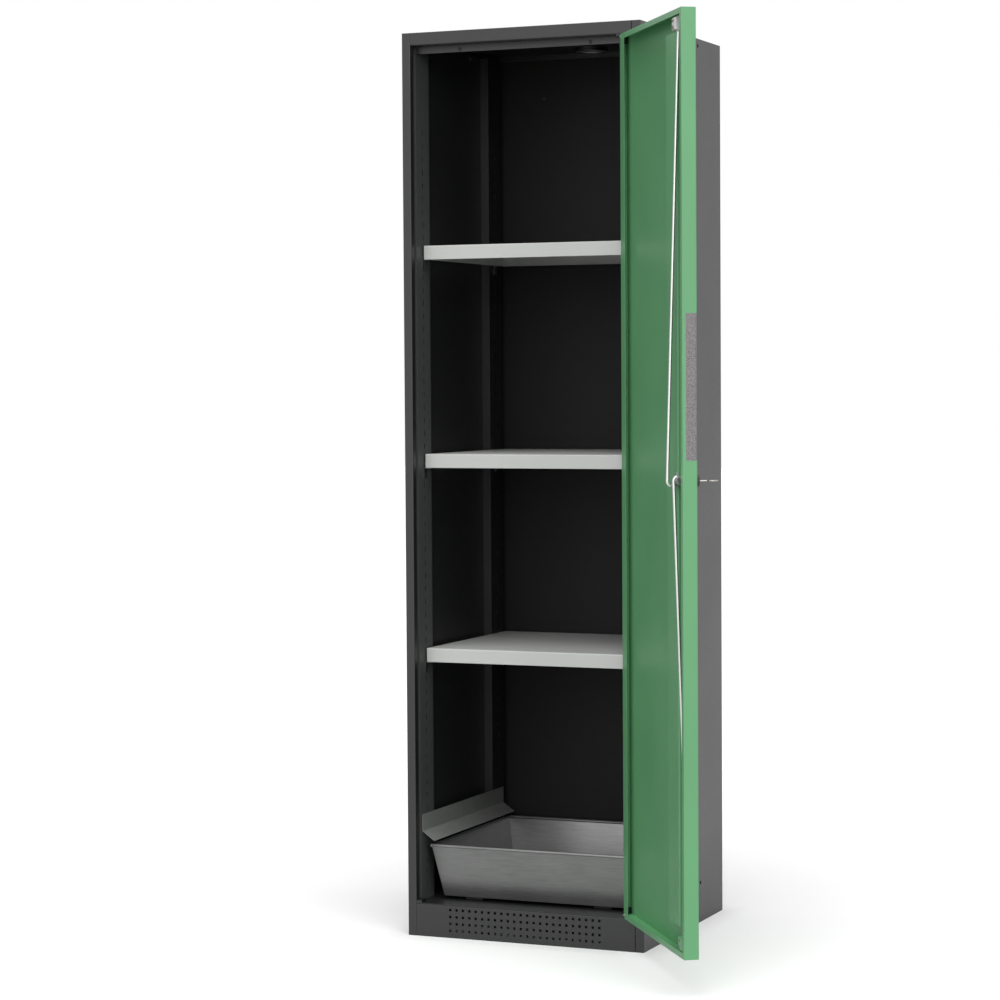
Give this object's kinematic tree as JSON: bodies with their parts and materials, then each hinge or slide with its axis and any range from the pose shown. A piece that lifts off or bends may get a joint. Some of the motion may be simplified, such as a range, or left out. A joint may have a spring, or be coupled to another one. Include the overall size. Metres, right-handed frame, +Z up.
{
  "type": "chemical storage cabinet",
  "caption": "Tall narrow sheet-metal cabinet for chemicals with an open hinged door, rod lock, hung shelves, sump tray with drip plates, perforated plinth and roof exhaust spigot.",
  "frame": {"origin": "middle of the carcass footprint, on the floor that the cabinet stands on", "axes": "+X to the right seen from the front, +Y to the back, +Z up"},
  "size_m": [0.8213, 0.9213, 1.99],
  "materials": {
    "carcass_paint": "anthracite powder coat, fine texture",
    "door_paint": "green powder coat, satin",
    "shelf_paint": "light grey powder coat, satin",
    "galvanised": "galvanised sheet",
    "bright_steel": "zinc-plated, bright",
    "white_plastic": "moulded",
    "grip_plastic": "moulded, fine grain",
    "black_plastic": "moulded",
    "buffer_rubber": "soft",
    "key_metal": "nickel-plated"
  },
  "bodies": {
    "carcass": {"left_side_panel": "carcass_paint", "right_side_panel": "carcass_paint", "back_panel": "carcass_paint", "roof_panel": "carcass_paint", "header_rail": "carcass_paint", "floor_panel": "carcass_paint", "plinth_panel": "carcass_paint", "floor_support": "carcass_paint", "exhaust_spigot": "carcass_paint", "front_left_upright": "carcass_paint", "front_right_upright": "carcass_paint", "rear_left_upright": "carcass_paint", "rear_right_upright": "carcass_paint", "lower_shelf": "shelf_paint", "middle_shelf": "shelf_paint", "upper_shelf": "shelf_paint", "sump_tray": "galvanised", "left_drip_plate": "galvanised", "right_drip_plate": "galvanised", "foot_brackets": "galvanised", "lower_shelf_clips": "galvanised", "middle_shelf_clips": "galvanised", "upper_shelf_clips": "galvanised", "upper_hinge_pivot": "bright_steel", "lower_hinge_pivot": "bright_steel", "levelling_feet": "bright_steel", "door_glide": "white_plastic", "door_buffers": "buffer_rubber"},
    "door": {"door_panel": "door_paint", "door_stiffener": "door_paint", "upper_hinge_bush": "black_plastic", "lower_hinge_bush": "black_plastic", "grip_insert": "grip_plastic", "lock_case": "bright_steel", "lock_rosette": "black_plastic", "upper_rod_guide": "white_plastic", "lower_rod_guide": "white_plastic"},
    "lock": {"lock_plug": "bright_steel", "lock_cam": "bright_steel", "cam_screw": "bright_steel"},
    "key": {"key": "key_metal"},
    "upper_rod": {"upper_rod": "bright_steel"},
    "lower_rod": {"lower_rod": "bright_steel"}
  },
  "joints": [
    {"name": "door_hinge", "type": "hinge", "parent": "carcass", "child": "door", "pos_m": [0.237, -0.253, 0], "axis": [0, 0, 1], "range_deg": [-125.76, 4.24]},
    {"name": "lock_turn", "type": "hinge", "parent": "door", "child": "lock", "pos_m": [0.50367, -0.61131, 1.008], "axis": [0.8115, 0.5844, 0], "range_deg": [0, 90]},
    {"name": "key_pull", "type": "slide", "parent": "lock", "child": "key", "axis": [0.8115, 0.5844, 0], "range_m": [0, 0.03]},
    {"name": "upper_rod_slide", "type": "slide", "parent": "door", "child": "upper_rod", "axis": [0.0241, 0.0174, 0.9996], "range_m": [0, 0.0188]},
    {"name": "lower_rod_slide", "type": "slide", "parent": "door", "child": "lower_rod", "axis": [0.0263, 0.0189, -0.9995], "range_m": [0, 0.01885]}
  ],
  "couplings": [
    {"joint": "lock_turn", "follows": "upper_rod_slide", "rad_per_m": 83.333},
    {"joint": "lower_rod_slide", "follows": "upper_rod_slide", "ratio": 1}
  ]
}
